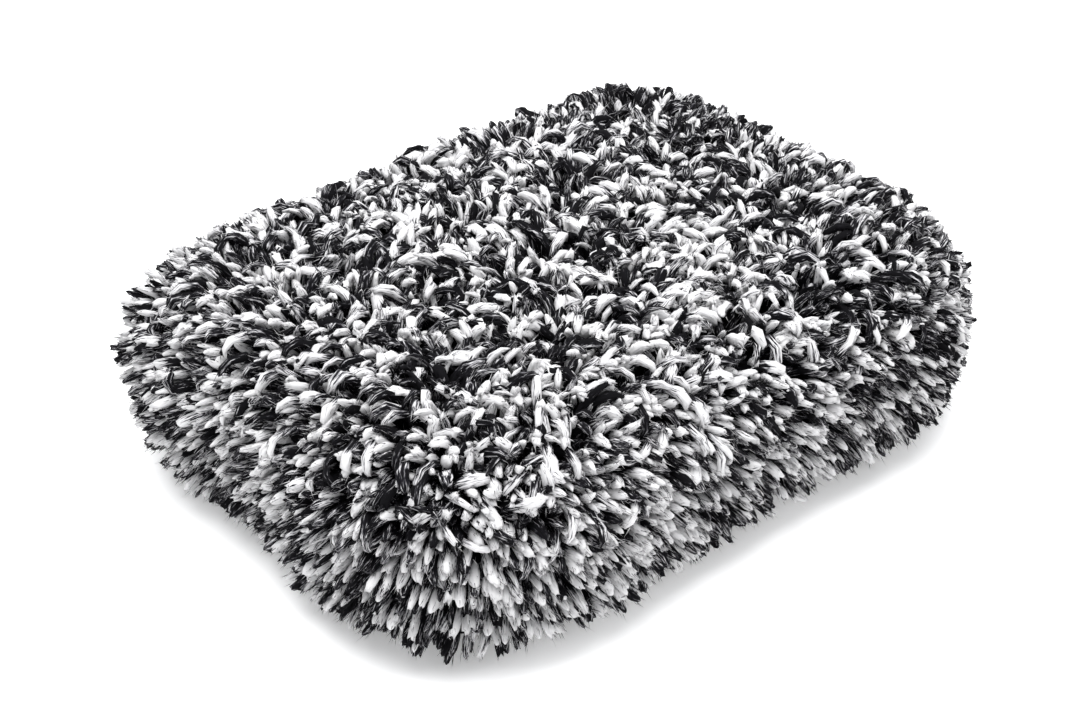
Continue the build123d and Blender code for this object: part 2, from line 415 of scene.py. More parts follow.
# %% Which way the tufts lean
SEED_OF_TUFTS = 41
EDGE_FROM, EDGE_OVER = 0.50, 0.28  # where the edge starts and how wide it is, as shares of the half plan
GROUP_SIZE = 9 * MM  # tufts this near to each other fall much the same way
GROUP_PULL = 0.9
EDGE_CALM = 0.70  # the share of its straying that a tuft loses at the edge
DROOP = 0.55
SEAM_REACH, SEAM_PULL = 9 * MM, 0.9  # beside the seam the tufts part to both sides of it
rng = np.random.default_rng(SEED_OF_TUFTS)
count = len(roots)
topness = np.clip(root_normals[:, 2] * root_panels, 0, 1)  # 1 on the flat of a panel, 0 on its side
beneath = (root_panels < 0) * topness  # 1 where the mitt lies on its tufts
plan_place = roots[:, :2] / half_plan
outward = np.zeros_like(roots)
outward[:, :2] = unit(np.sign(plan_place) * np.abs(plan_place) ** 3)
edge_share = np.clip((np.max(np.abs(plan_place), axis=1) - EDGE_FROM) / EDGE_OVER, 0, 1)

groups = wavy_field(roots, GROUP_SIZE, rng, 3)
stray = rng.normal(size=(count, 3))
lean = (groups * GROUP_PULL + stray) * (1 - EDGE_CALM * edge_share)[:, None]
lean += outward * (edge_share * topness)[:, None]
lean[:, 2] -= (1 - topness) * DROOP
seam_gap = np.clip(1 - np.abs(roots[:, 2] - seam_height) / SEAM_REACH, 0, 1)
lean[:, 2] += root_panels * seam_gap * SEAM_PULL
lean = unit(tangent_part(lean, root_normals))
print("tufts at the edge:", int((edge_share > 0).sum()), "of", count)

# %% How far they turn over
CURL_SHARE = 0.22
TURNS, CURL_TURNS, PRESSED_TURNS, SHORT_TURNS = (20, 135), (130, 215), (80, 100), (10, 60)  # degrees
SIDE_TURN = 0.32  # the sides turn over by this share of what the top does
EDGE_TURN_LOST, LOWER_TURN = 0.3, 0.75  # tufts at the edge and on the lower panel turn over less


def random_turns(limits, number):
    """Random turns in radians between limits in degrees."""
    return np.radians(rng.uniform(*limits, number))


turn = random_turns(TURNS, count) * (SIDE_TURN + (1 - SIDE_TURN) * topness**2)
turn *= 1 - EDGE_TURN_LOST * edge_share
curls = rng.random(count) < CURL_SHARE * topness * (root_panels > 0)
turn[curls] = random_turns(CURL_TURNS, curls.sum())
turn[root_panels < 0] *= LOWER_TURN
turn = np.where(beneath > 0.5, random_turns(PRESSED_TURNS, count), turn)
turn[root_short] = random_turns(SHORT_TURNS, root_short.sum())
print("curled tufts:", int(curls.sum()), "of", count)

# %% How high their tips stand
PILE_HEIGHT, SHORT_HEIGHT, PRESSED_HEIGHT = 26.3 * MM, 20.0 * MM, 18.8 * MM
UNEVEN_SIZE, UNEVEN_BY = 14 * MM, 1.4 * MM  # the size and height of the waves in the top
UNEVEN_EACH = 1.2 * MM  # by which one tuft differs from its neighbours
EDGE_WEAR = 1.5 * MM  # the tufts on the upper edge are worn shorter
CROWN_RADIUS = 2370 * MM  # the tips on top make a low crown
TIP_OVERHANG = 8 * MM  # how far outwards of its root a tip comes to lie, at the edge
tip_height = PILE_HEIGHT + wavy_field(roots, UNEVEN_SIZE, rng)[:, 0] * UNEVEN_BY
tip_height += rng.normal(size=count) * UNEVEN_EACH
tip_height = np.where(beneath > 0.5, PRESSED_HEIGHT, tip_height)
tip_height[root_short] += SHORT_HEIGHT - PILE_HEIGHT
slope_share = 4 * root_normals[:, 2] ** 2 * (1 - root_normals[:, 2] ** 2)
tip_height -= EDGE_WEAR * slope_share * (root_panels > 0)
tip_plan = roots[:, :2] + outward[:, :2] * TIP_OVERHANG
tip_height -= topness * (root_panels > 0) * np.sum(tip_plan**2, axis=1) / (2 * CROWN_RADIUS)
print("tip height in mm:", round(tip_height.mean() / MM, 1))

# %% One full corner and one that spreads
# No mitt is quite even: one corner of the finger end is fuller, and the other spreads over the floor
CORNER_SWELL, SWELL_SPREAD, SWELL_INSET = 16 * MM, 36 * MM, 33 * MM
CORNER_SPLAY, SPLAY_SPREAD = 6 * MM, 45 * MM
from_full = roots[:, :2] - (half_plan - SWELL_INSET) * np.array([-1, 1])
swell = CORNER_SWELL * np.exp(-np.sum(from_full**2, axis=1) / SWELL_SPREAD**2)
swell *= (1 - topness) * np.clip(roots[:, 2] / seam_height - 0.5, 0, 1)
splay = CORNER_SPLAY * np.exp(-np.sum((roots[:, :2] + half_plan) ** 2, axis=1) / SPLAY_SPREAD**2)
extra_length = swell + splay * (1 - topness) * (root_panels < 0)
print("longest extra in mm:", round(extra_length.max() / MM, 1))

# %% The line of every tuft
PATH_STEPS = 20
STEADY_BEND = 0.15  # of the turn; the rest comes near the tip
SHORTEST, LONGEST = 20 * MM, 36 * MM
TUFT_REACH, SHORT_REACH = 1.95 * MM, 2.3 * MM
SWAY = 0.35
ROOT_DEPTH = 0.6 * MM  # the roots start inside the cloth
reach = np.where(root_short, SHORT_REACH, TUFT_REACH) * rng.uniform(0.70, 1.24, count)
along = np.linspace(0, 1, PATH_STEPS + 1)
angle = turn[:, None] * (STEADY_BEND * along + (1 - STEADY_BEND) * along**4)[None, :]
rise = np.cos(angle)
highest = np.maximum.accumulate(np.cumsum(rise, axis=1), axis=1)[:, -1] / (PATH_STEPS + 1)
length = np.clip(tip_height / highest, np.where(root_short, 0, SHORTEST), LONGEST) + extra_length
sideways = np.cross(root_normals, lean)
sway = rng.normal(size=(count, 1)) * SWAY * np.sin(math.pi * along)[None, :]
heading = (rise[..., None] * root_normals[:, None] + np.sin(angle)[..., None] * lean[:, None]
           + sway[..., None] * sideways[:, None])
heading = unit(heading)
steps = (heading[:, 1:] + heading[:, :-1]) / 2 * (length / PATH_STEPS)[:, None, None]
path = np.concatenate([np.zeros((count, 1, 3)), np.cumsum(steps, axis=1)], axis=1)
path += (roots - root_normals * ROOT_DEPTH)[:, None]
print("tuft length in mm:", round(length.mean() / MM, 1))


# %% Clear of the floor and of the cuff
LOWEST_LINE, FLOOR_SOFTNESS = 1.9 * MM, 0.8 * MM
WRIST_DEPTH = 30 * MM  # from the wrist end, the stretch whose tufts keep clear of the cuff
CUFF_CLEARANCE, CUFF_SOFTNESS = 2.4 * MM, 1.0 * MM
CUFF_SIDE_SOFTNESS, CUFF_SIDE_SLOPE = 2 * MM, 3.0


def soft_floor(values, lowest, softness):
    """Values that come down to the lowest and level out there, without a corner."""
    return lowest + softness * np.logaddexp(0, (values - lowest) / softness)


path[..., 2] = soft_floor(path[..., 2], LOWEST_LINE, FLOOR_SOFTNESS)
cuff_low, cuff_high = (np.array(c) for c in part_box("rib_cuff"))
cuff_half_width, cuff_half_height = (cuff_high[1:] - cuff_low[1:]) / 2
from_seam = path[..., 2] - seam_height
beside = soft_floor(np.abs(path[..., 1]) - cuff_half_width, 0, CUFF_SIDE_SOFTNESS)
side_of_cuff = np.broadcast_to(root_panels[:, None], from_seam.shape)
needed = cuff_half_height + CUFF_CLEARANCE - beside * CUFF_SIDE_SLOPE
at_wrist = path[..., 0] > body_length / 2 - WRIST_DEPTH
lifted = side_of_cuff * soft_floor(from_seam * side_of_cuff, needed, CUFF_SOFTNESS)
blocked = at_wrist & (needed > 0)
path[..., 2] = np.where(blocked, seam_height + lifted, path[..., 2])
heading = unit(np.gradient(path, axis=1))
print("highest point of the lines in mm:", round(path[..., 2].max() / MM, 1))


# %% [markdown]
# ## Laying the copies
#
# Each copy gets its own vertices, so that every tuft can bend its own way. The copies of one region of the
# panel are joined into one piece, because a thousand separate objects would be slow to handle, and each
# piece stays small enough to be kept at full detail. Fine loose fibres are added the same way: each is a
# closed needle with four faces, and they give the pile its frayed edge. Two things go with each face for
# the material: the strand map holds the place of its corners round and along the tuft, and the tone
# attribute says how pale its yarn is.

# %% Read a model tuft as arrays
def tuft_arrays(tuft):
    """Vertices, corner vertices, corner counts, and the place round and along the tuft of every corner."""
    mesh = tuft.data
    points = np.array([v.co for v in mesh.vertices])
    corners, totals, places = [], [], []
    for face in mesh.polygons:
        middle = math.atan2(face.center.y, face.center.x) / (2 * math.pi) % 1
        for i in face.vertices:
            x, y, z = points[i]
            around = middle
            if math.hypot(x, y) > NEARLY:
                around = middle + (math.atan2(y, x) / (2 * math.pi) - middle + 0.5) % 1 - 0.5
            corners.append(i)
            places.append((around, z))
        totals.append(len(face.vertices))
    return points, np.array(corners), np.array(totals), np.array(places)


kind_arrays = [tuft_arrays(tuft) for tuft in tuft_kinds]
for tuft in tuft_kinds:
    bpy.data.objects.remove(tuft)


# %% Lay tufts and fibres along their lines
def on_path(which, where):
    """Position and heading at a share of the length of each tuft's line, also a little past its tip."""
    place = np.clip(where, 0, 0.9999) * PATH_STEPS
    step = place.astype(int)
    part = (place - step)[..., None]
    position = path[which, step] * (1 - part) + path[which, step + 1] * part
    direction = unit(heading[which, step] * (1 - part) + heading[which, step + 1] * part)
    position = position + direction * (np.maximum(where - 1, 0) * length[which])[..., None]
    return position, direction


def cross_axes(which, direction):
    """Two axes across a tuft's line, that turn smoothly along it."""
    across = unit(tangent_part(sideways[which], direction))
    return across, np.cross(direction, across)


# %% Kind, roll and tone of every tuft
KIND_SHARES = (0.42, 0.24, 0.18, 0.16, 0)  # the short tufts are dealt out apart
MOST_TWIST = 1.6
PALE_SHARE, PATCH_SIZE, PATCH_SHARE = 0.48, 26 * MM, 0.13
PALER_THIS_WAY = 0.06  # the pale share falls from one corner of the plan to the other
LOW_DOWN, FLOOR_SHADE_SHARE = 32 * MM, 0.30  # the lowest tufts are less often pale: painted shade near the floor
PALE_TONE, DARK_TONE = (1.04, 0.12), (0.30, 0.11)  # the middle and the spread of each
kind_of = rng.choice(len(kind_arrays), size=count, p=KIND_SHARES)
kind_of[root_short] = len(kind_arrays) - 1
roll = rng.uniform(0, 2 * math.pi, count)
twist = rng.uniform(-MOST_TWIST, MOST_TWIST, count)
flatness = rng.uniform(0.78, 1.05, count)
patches = wavy_field(roots, PATCH_SIZE, rng)[:, 0]
pale_share = PALE_SHARE + PATCH_SHARE * patches - PALER_THIS_WAY * plan_place.sum(axis=1)
# Painted shade near the floor: tufts whose tips lie low are less often pale.
pale_share -= FLOOR_SHADE_SHARE * np.clip(1 - path[:, -1, 2] / LOW_DOWN, 0, 1)
pale = (rng.random(count) < pale_share) & ~root_short
tone = np.where(pale, rng.normal(*PALE_TONE, count), rng.normal(*DARK_TONE, count))
print("pale tufts:", int(pale.sum()))


# %% Lay the copies of a tuft
LUMP, LUMPS_ALONG = 0.10, 1.7


def lay_tufts(chosen, kind):
    """Vertices, corners, counts, strand places and tones of the copies of one kind."""
    points, corners, totals, places = kind_arrays[kind]
    which = np.repeat(chosen, len(points)).reshape(len(chosen), -1)
    where = np.broadcast_to(points[:, 2], which.shape)
    position, direction = on_path(which, where)
    across, up = cross_axes(which, direction)
    turned = roll[which] + twist[which] * where
    lumps = 1 + LUMP * np.sin(2 * math.pi * (LUMPS_ALONG * where + roll[which]))
    x = points[:, 0] * reach[which] * lumps
    y = points[:, 1] * reach[which] * lumps * flatness[which]
    vertices = (position + across * (x * np.cos(turned) - y * np.sin(turned))[..., None]
                + up * (x * np.sin(turned) + y * np.cos(turned))[..., None])
    offsets = (np.arange(len(chosen)) * len(points))[:, None]
    strand = np.broadcast_to(places, (len(chosen), *places.shape)).copy()
    return (vertices.reshape(-1, 3), (corners + offsets).ravel(), np.tile(totals, len(chosen)), strand,
            np.repeat(tone[chosen], len(totals)))


# %% Lay loose fibres
FIBRES_PER_TUFT, FIBRES_SHORT, FIBRES_BENEATH = 14, 5, 3
FIBRE_REACH = 0.12 * MM
FIBRE_LENGTHS = (1.6 * MM, 4.6 * MM)
FIBRE_SPLAYS = (2, 26)  # degrees
FIBRES_FROM_TIP = 0.28  # most loose fibres start within this share of the tuft's length from its tip
DARK_FIBRES, DARK_FIBRE_TONE = 0.5, 0.1


def lay_fibres(chosen, per_tuft, rng):
    """Loose fibres on the chosen tufts, as closed needles of four faces."""
    which = np.repeat(chosen, per_tuft)
    number = len(which)
    where = np.clip(1.02 - np.abs(rng.normal(0, FIBRES_FROM_TIP, number)), 0.3, 1.0)
    position, direction = on_path(which, where)
    across, up = cross_axes(which, direction)
    turned = rng.uniform(0, 2 * math.pi, number)
    outwards = across * np.cos(turned)[:, None] + up * np.sin(turned)[:, None]
    start = position + outwards * (reach[which] * rng.uniform(0.35, 0.9, number))[:, None]
    open_out = np.radians(rng.uniform(*FIBRE_SPLAYS, number))
    needle = unit(direction * np.cos(open_out)[:, None] + outwards * np.sin(open_out)[:, None])
    needle_length = rng.uniform(*FIBRE_LENGTHS, number)
    tip = start + needle * needle_length[:, None]
    tip[:, 2] = np.maximum(tip[:, 2], 0.3 * MM)
    side = unit(np.cross(needle, outwards + 0.01))
    other = np.cross(needle, side)
    thirds = np.arange(3) * 2 * math.pi / 3
    base = start[:, None] + FIBRE_REACH * (side[:, None] * np.cos(thirds)[:, None]
                                           + other[:, None] * np.sin(thirds)[:, None])
    base[..., 2] = np.maximum(base[..., 2], 0.2 * MM)
    vertices = np.concatenate([base, tip[:, None]], axis=1).reshape(-1, 3)
    faces = np.array([0, 1, 3, 1, 2, 3, 2, 0, 3, 2, 1, 0])
    corners = (faces + (np.arange(number) * 4)[:, None]).ravel()
    strand = np.repeat(np.stack([turned / (2 * math.pi), where], axis=1), 12, axis=0).reshape(-1, 12, 2)
    dark = rng.random(number) < DARK_FIBRES
    fibre_tone = np.where(dark, DARK_FIBRE_TONE, tone[which] - 0.1) + rng.normal(0, 0.15, number)
    return vertices, corners, np.full(number * 4, 3), strand, np.repeat(fibre_tone, 4)


# %% Write a mesh
def write_mesh(name, vertices, corners, totals):
    """A mesh object from arrays of vertices, corner vertices and corners per face."""
    mesh = bpy.data.meshes.new(name)
    mesh.vertices.add(len(vertices))
    mesh.vertices.foreach_set("co", vertices.astype(np.float32).ravel())
    mesh.loops.add(len(corners))
    mesh.loops.foreach_set("vertex_index", corners.astype(np.int32))
    mesh.polygons.add(len(totals))
    mesh.polygons.foreach_set("loop_start", np.concatenate([[0], np.cumsum(totals)[:-1]]).astype(np.int32))
    mesh.polygons.foreach_set("use_smooth", np.ones(len(totals), bool))
    mesh.update(calc_edges=True)
    made = bpy.data.objects.new(name, mesh)
    bpy.context.collection.objects.link(made)
    return made


# %% The bake map of a piece
# The map is a square of cells, one for each tuft. The tuft takes most of its cell and the loose fibres have
# slots along one side of it.
STRAND_SHIFTS = 61  # tufts are told apart in the strand map by whole shifts, up to this many
TUFT_PART, FIBRE_PART_FROM, FIBRE_PART = 0.80, 0.83, 0.16
ROUND_FROM, ROUND_SPAN = -0.14, 1.28  # the places round a tuft run a little past one whole turn
ALONG_SPAN = 1.12  # and those along it run a little past its tip


def tuft_in_cell(place):
    """Places of a tuft's corners in its own cell."""
    return np.stack([(place[..., 0] - ROUND_FROM) / ROUND_SPAN * TUFT_PART + 0.01,
                     np.clip(place[..., 1] / ALONG_SPAN, 0, 1) * 0.96 + 0.02], axis=-1)


def fibres_in_cell(fibres, tufts):
    """Places of the corners of the loose fibres, each fibre in its slot of its tuft's cell."""
    slot_of = np.tile(np.arange(fibres), tufts)[:, None]
    in_slot = np.array([(0, 0), (1, 0), (0.5, 1)] * 4) * 0.8 + 0.1
    high = (slot_of + in_slot[:, 1]) / fibres
    wide = np.broadcast_to(FIBRE_PART_FROM + in_slot[:, 0] * FIBRE_PART, high.shape)
    return np.stack([wide, high], axis=-1)


# %% Build one piece of pile
def build_pile(name, chosen, fibres):
    """One piece of pile: the chosen tufts and their loose fibres, with the data that the material reads."""
    local = np.random.default_rng(len(name) * 1000 + len(chosen))
    groups = [(chosen[kind_of[chosen] == kind], kind) for kind in range(len(kind_arrays))]
    blocks = [lay_tufts(members, kind) for members, kind in groups if len(members)]
    owners = [members for members, _ in groups if len(members)]
    if fibres:
        blocks.append(lay_fibres(chosen, fibres, local))
    first = np.cumsum([0] + [len(block[0]) for block in blocks[:-1]])
    vertices = np.concatenate([block[0] for block in blocks])
    corners = np.concatenate([block[1] + start for block, start in zip(blocks, first)])
    totals = np.concatenate([block[2] for block in blocks])
    piece = write_mesh(name, vertices, corners, totals)

    numbers = [np.searchsorted(chosen, members) for members in owners]
    insides = [tuft_in_cell(block[3]) for block, _ in zip(blocks, owners)]
    if fibres:
        numbers.append(np.repeat(np.arange(len(chosen)), fibres))
        insides.append(fibres_in_cell(fibres, len(chosen)))
    cells = math.ceil(math.sqrt(len(chosen)))
    strands, bakes = [], []
    for number, inside, block in zip(numbers, insides, blocks):
        cell = np.stack([number % cells, number // cells], axis=1)[:, None]
        shift = np.stack([number % STRAND_SHIFTS, np.zeros_like(number)], axis=1)[:, None]
        bakes.append(((cell + inside) / cells).reshape(-1, 2))
        strands.append((block[3] + shift).reshape(-1, 2))
    for map_name, values in (("strand", strands), ("OFBake", bakes)):
        layer = piece.data.uv_layers.new(name=map_name)
        layer.uv.foreach_set("vector", np.concatenate(values).astype(np.float32).ravel())
    tones = piece.data.attributes.new("tone", "FLOAT", "FACE")
    tones.data.foreach_set("value", np.concatenate([block[4] for block in blocks]).astype(np.float32))
    return piece


# %% [markdown]
# ## The yarn's material
#
# The yarn is off-white and charcoal microfibre. Each tuft is darkened towards its root by painted shade,
# which stands for the shade that falls deep between the tufts. Its strands show as fine lengthwise streaks,
# because pale and dark fibres run side by side. So the streaks are noise stretched along the tuft, read from
# the strand map, and the tone of each tuft shifts the balance. The same streaks raise the surface a little.

# %% Pile material
BROAD_STREAKS = (2.6, 2.0, 1.0)  # how often the streaks repeat round and along a tuft, and their detail
FINER_STREAKS = ((0.60, (14.0, 4.0, 2.0)), (0.34, (30.0, 10.0, 2.0)))  # the share of each layer comes first
# Painted shade at the roots: it covers a tuft up to the first share and fades out by the second.
ROOT_SHADE_UP_TO, ROOT_SHADE_GONE_BY = 0.54, 0.93  # shares of a tuft's length from its root
STREAK_CONTRAST = 5.2
YARN_COLOURS = [(0.22, (0.0020, 0.0018, 0.0027)), (0.42, (0.009, 0.0083, 0.0115)),
                (0.55, (0.17, 0.167, 0.178)), (0.69, (0.55, 0.544, 0.555)), (1.05, (0.70, 0.695, 0.70))]


def streak_layer(tree, strand, across, lengthwise, detail):
    """Noise drawn out along the tufts."""
    spacing = node(tree, "ShaderNodeMapping", {"Vector": strand, "Scale": (across, lengthwise, 1.0)})
    return node(tree, "ShaderNodeTexNoise", {"Vector": spacing.outputs["Vector"], "Scale": 1.0,
                                             "Detail": detail, "Roughness": 0.62}).outputs["Fac"]


def pile_material():
    """Off-white and charcoal yarn, streaked along the tuft and darkened towards the root by painted shade.
    """
    material, tree, shader = new_material("two_tone_pile")
    strand = node(tree, "ShaderNodeUVMap", uv_map="strand").outputs["UV"]
    streaks = streak_layer(tree, strand, *BROAD_STREAKS)
    for share, layer in FINER_STREAKS:
        finer = streak_layer(tree, strand, *layer)
        streaks = node(tree, "ShaderNodeMix", {"Factor": share, "A": streaks, "B": finer}).outputs["Result"]
    parts = node(tree, "ShaderNodeSeparateXYZ", {"Vector": strand})
    # Painted shade: the tone counts for less towards the root, so the roots go dark.
    out_of_root_shade = node(tree, "ShaderNodeMapRange",
                     {"Value": parts.outputs["Y"], "From Min": ROOT_SHADE_UP_TO, "From Max": ROOT_SHADE_GONE_BY,
                      "To Min": 0.0, "To Max": 1.0}, interpolation_type="SMOOTHSTEP").outputs["Result"]
    tone_value = node(tree, "ShaderNodeAttribute", attribute_name="tone").outputs["Fac"]
    spread = calc(tree, "MULTIPLY_ADD", streaks, STREAK_CONTRAST, -STREAK_CONTRAST / 2)
    balance = calc(tree, "ADD", calc(tree, "MULTIPLY", tone_value, out_of_root_shade), spread)
    yarn = ramp(tree, balance, YARN_COLOURS)
    tree.links.new(yarn.outputs["Color"], shader.inputs["Base Color"])
    relief = node(tree, "ShaderNodeBump", {"Height": streaks, "Strength": 1.0, "Distance": 0.0007})
    tree.links.new(relief.outputs["Normal"], shader.inputs["Normal"])
    shader.inputs["Roughness"].default_value = 0.88
    shader.inputs["Specular IOR Level"].default_value = 0.12
    return material


yarn_material = pile_material()
print("material:", yarn_material.name)


# %% The pieces of pile
CROWN_LEVEL = 0.7


def region_of(points):
    """Names the region of the panel that each root is in: a quarter of its crown, or one of four sides."""
    x, y = (points[:, :2] / (half_plan - PILE_DEPTH)).T
    side = np.where(np.abs(x) > np.abs(y), np.where(x > 0, "wrist_side", "finger_side"),
                    np.where(y > 0, "left_side", "right_side"))
    crown = np.char.add(np.where(x > 0, "wrist", "finger"), np.where(y > 0, "_left_crown", "_right_crown"))
    return np.where(topness > CROWN_LEVEL, crown, side)


def fibres_on(side, region):
    """How many loose fibres each tuft of a region carries: fewer where they are hidden."""
    if region.startswith("short"):
        return FIBRES_SHORT
    return FIBRES_BENEATH if side < 0 and region.endswith("crown") else FIBRES_PER_TUFT


regions = np.where(root_short, np.where(roots[:, 0] > 0, "short_wrist", "short_finger"), region_of(roots))
for side, panel in ((1, "upper"), (-1, "lower")):
    for region in sorted(set(regions)):
        members = np.flatnonzero((root_panels == side) & (regions == region))
        piece = build_pile(f"{panel}_pile_{region}", members, fibres_on(side, region))
        piece.data.materials.append(yarn_material)
        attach(piece, "root")
        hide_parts(panel + "_pile")
        triangles = sum(len(face.vertices) - 2 for face in piece.data.polygons)
        print(piece.name, "tufts:", len(members), "triangles:", triangles)

# %% [markdown]
# ## Helpers for the layers inside
#
# The layers behind the pile are sewn cloth and foam. Their CAD solids have the right outline, and they are
# too even to be cloth. So each layer starts as a copy of its CAD mesh, whose loose triangles are merged
# first. A thin cloth is cut along planes a few millimetres apart, which gives it enough points to bend, and
# then gets shallow waves: both of its walls are moved alike, so it keeps its thickness. A voxel remesh
# would lose such a thin wall.

# %% Copy a CAD layer
def merged_copy(node_name, name):
    """A new object with the merged mesh of a CAD node, selected and active."""
    deselect_everything()
    copy = bpy.data.objects.new(name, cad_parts[node_name].data.copy())
    bpy.context.collection.objects.link(copy)
    copy.data.materials.clear()
    bpy.context.view_layer.objects.active = copy
    copy.select_set(True)
    bpy.ops.object.mode_set(mode="EDIT")
    bpy.ops.mesh.select_all(action="SELECT")
    bpy.ops.mesh.customdata_custom_splitnormals_clear()
    bpy.ops.mesh.remove_doubles(threshold=0.002 * MM)
    bpy.ops.object.mode_set(mode="OBJECT")
    return copy


# %% Copy a thin cloth
FLAT_WITHIN, SMOOTH_WITHIN = math.radians(0.4), math.radians(40)


def cloth_copy(node_name, name, step):
    """A merged copy of a thin CAD layer, cut along planes a step apart in all three directions."""
    copy = merged_copy(node_name, name)
    low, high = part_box(node_name)
    bpy.ops.object.mode_set(mode="EDIT")
    bpy.ops.mesh.dissolve_limited(angle_limit=FLAT_WITHIN)
    for axis in range(3):
        cuts = int((high[axis] - low[axis]) / step)
        for number in range(1, cuts + 1):
            place = low[axis] + (high[axis] - low[axis]) * number / (cuts + 1)
            bpy.ops.mesh.select_all(action="SELECT")
            bpy.ops.mesh.bisect(plane_co=[place if i == axis else 0 for i in range(3)],
                                plane_no=[float(i == axis) for i in range(3)])
    bpy.ops.mesh.select_all(action="SELECT")
    bpy.ops.mesh.quads_convert_to_tris()
    bpy.ops.mesh.tris_convert_to_quads()
    bpy.ops.object.mode_set(mode="OBJECT")
    bpy.ops.object.shade_smooth_by_angle(angle=SMOOTH_WITHIN)
    return copy


# %% Move points and finish a piece
def get_points(piece):
    """The vertices of a piece as an array."""
    points = np.empty((len(piece.data.vertices), 3), np.float32)
    piece.data.vertices.foreach_get("co", points.ravel())
    return points.astype(float)


def set_points(piece, points):
    """Moves the vertices of a piece to the rows of an array."""
    piece.data.vertices.foreach_set("co", points.astype(np.float32).ravel())
    piece.data.update()


def finish_piece(piece, material, slot, *nodes):
    """Gives a finished piece its material, hangs it on the root body and hides the CAD nodes that it
    replaces. The slot is not used.
    """
    piece.data.materials.append(material)
    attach(piece, "root")
    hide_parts(*nodes)
    print(piece.name, "has", len(piece.data.polygons), "faces")


# %% [markdown]
# ## Cloth materials
#
# A knit or a weave repeats every millimetre or so, far too fine to be modelled. Waves across and along the
# cloth give the threads, as relief and as a slight change of colour, and a large soft noise keeps the colour
# from being flat. The waves read Object coordinates, which are metres here. A wave texture repeats every
# 0.314 divided by its scale.

# %% Woven and knitted materials
WAVE_LENGTH = 0.3142
WEAR = 0.6  # how far the soft noise shifts the colour


def cloth_material(name, dark, pale, thread_pitch, across=("X", "Y"), roughness=0.9, sheen=0.3):
    """Matt cloth with threads a pitch apart, that repeat in the given directions."""
    material, tree, shader = new_material(name)
    place = node(tree, "ShaderNodeTexCoord").outputs["Object"]
    threads = None
    for direction in across:
        wave = node(tree, "ShaderNodeTexWave", {"Vector": place, "Scale": WAVE_LENGTH / thread_pitch,
                                                "Distortion": 0.8, "Detail": 1.0, "Detail Scale": 2.0},
                    bands_direction=direction)
        thread = wave.outputs["Fac"]
        threads = thread if threads is None else calc(tree, "MULTIPLY", threads, thread)
    wear = node(tree, "ShaderNodeTexNoise", {"Vector": place, "Scale": 35.0, "Detail": 4.0}).outputs["Fac"]
    total = calc(tree, "ADD", threads, calc(tree, "MULTIPLY_ADD", wear, WEAR, -WEAR / 2))
    colour = ramp(tree, total, [(0.0, dark), (0.85, pale)])
    tree.links.new(colour.outputs["Color"], shader.inputs["Base Color"])
    relief = node(tree, "ShaderNodeBump", {"Height": threads, "Strength": 0.6, "Distance": 0.0003})
    tree.links.new(relief.outputs["Normal"], shader.inputs["Normal"])
    shader.inputs["Roughness"].default_value = roughness
    shader.inputs["Specular IOR Level"].default_value = 0.2
    shader.inputs["Sheen Weight"].default_value = sheen
    shader.inputs["Sheen Roughness"].default_value = 0.5
    return material


# %% [markdown]
# ## Ground cloths
#
# The ground cloth is the charcoal knit that the tufts are hooked through. It shows only as the dark between
# them. It is a dished sheet whose edge turns into the seam, so it is waved a little on its crown and stays
# where it is at the seam.

# %% Ground cloths
STILL_AT_SEAM, WAVES_GROW_OVER = 5 * MM, 6 * MM


def wave_crown(piece, size, amount, seed):
    """Shallow waves up and down, that die away towards the seam."""
    points = get_points(piece)
    away = np.clip((np.abs(points[:, 2] - seam_height) - STILL_AT_SEAM) / WAVES_GROW_OVER, 0, 1)
    flat = points.copy()
    flat[:, 2] = 0  # both walls of the cloth move alike
    points[:, 2] += wavy_field(flat, size, np.random.default_rng(seed))[:, 0] * amount * away
    set_points(piece, points)


ground_material = cloth_material("charcoal_ground_knit", (0.004, 0.004, 0.005), (0.022, 0.021, 0.024),
                                 1.4 * MM)
for number, panel in enumerate(("upper", "lower")):
    cloth = cloth_copy(panel + "_ground_cloth", panel + "_backing_cloth", step=9 * MM)
    wave_crown(cloth, size=11 * MM, amount=0.25 * MM, seed=60 + number)
    finish_piece(cloth, ground_material, "ground_cloth", panel + "_ground_cloth")


# %% [markdown]
# ## Foam
#
# A sheet of foam gives each panel its plump shape. The real sheet is cut flat and pushed into the dish, and
# it swells against the cloths on both sides. So the solid is drawn in a little, remeshed to even squares,
# and blown up by a short cloth simulation with pressure and no gravity. Left alone the foam would swell
# several times too far, so how far a point may move is capped, and the result is kept as the mesh.

# %% Foam
FOAM_VOXEL = 2.6 * MM
FOAM_DRAWN_IN = 0.5 * MM
FOAM_CAP = 1.0 * MM
SWELLING_STEPS = 16
FOAM_PRESSURE = 4.0


def swell(piece, pressure, steps, cap):
    """Blows a closed mesh up by cloth simulation, each point by no more than the cap."""
    before = get_points(piece)
    cloth = piece.modifiers.new("swelling", "CLOTH")
    cloth.settings.quality = 4
    cloth.settings.mass = 0.3
    cloth.settings.tension_stiffness = 15
    cloth.settings.compression_stiffness = 15
    cloth.settings.bending_stiffness = 2.0
    cloth.settings.use_pressure = True
    cloth.settings.uniform_pressure_force = pressure
    cloth.settings.effector_weights.gravity = 0
    cloth.point_cache.frame_start = 1
    cloth.point_cache.frame_end = steps
    for step in range(1, steps + 1):
        bpy.context.scene.frame_set(step)
    graph = bpy.context.evaluated_depsgraph_get()
    swollen = bpy.data.meshes.new_from_object(piece.evaluated_get(graph), depsgraph=graph)
    after = np.empty((len(swollen.vertices), 3), np.float32)
    swollen.vertices.foreach_get("co", after.ravel())
    bpy.data.meshes.remove(swollen)
    piece.modifiers.remove(cloth)
    bpy.context.scene.frame_set(1)
    move = after - before
    far = np.linalg.norm(move, axis=1, keepdims=True)
    set_points(piece, before + move * np.minimum(1, cap / np.maximum(far, 1e-9)))
    print(piece.name, "swelled by up to", round(float(far.max()) / MM, 2), "mm before the cap")


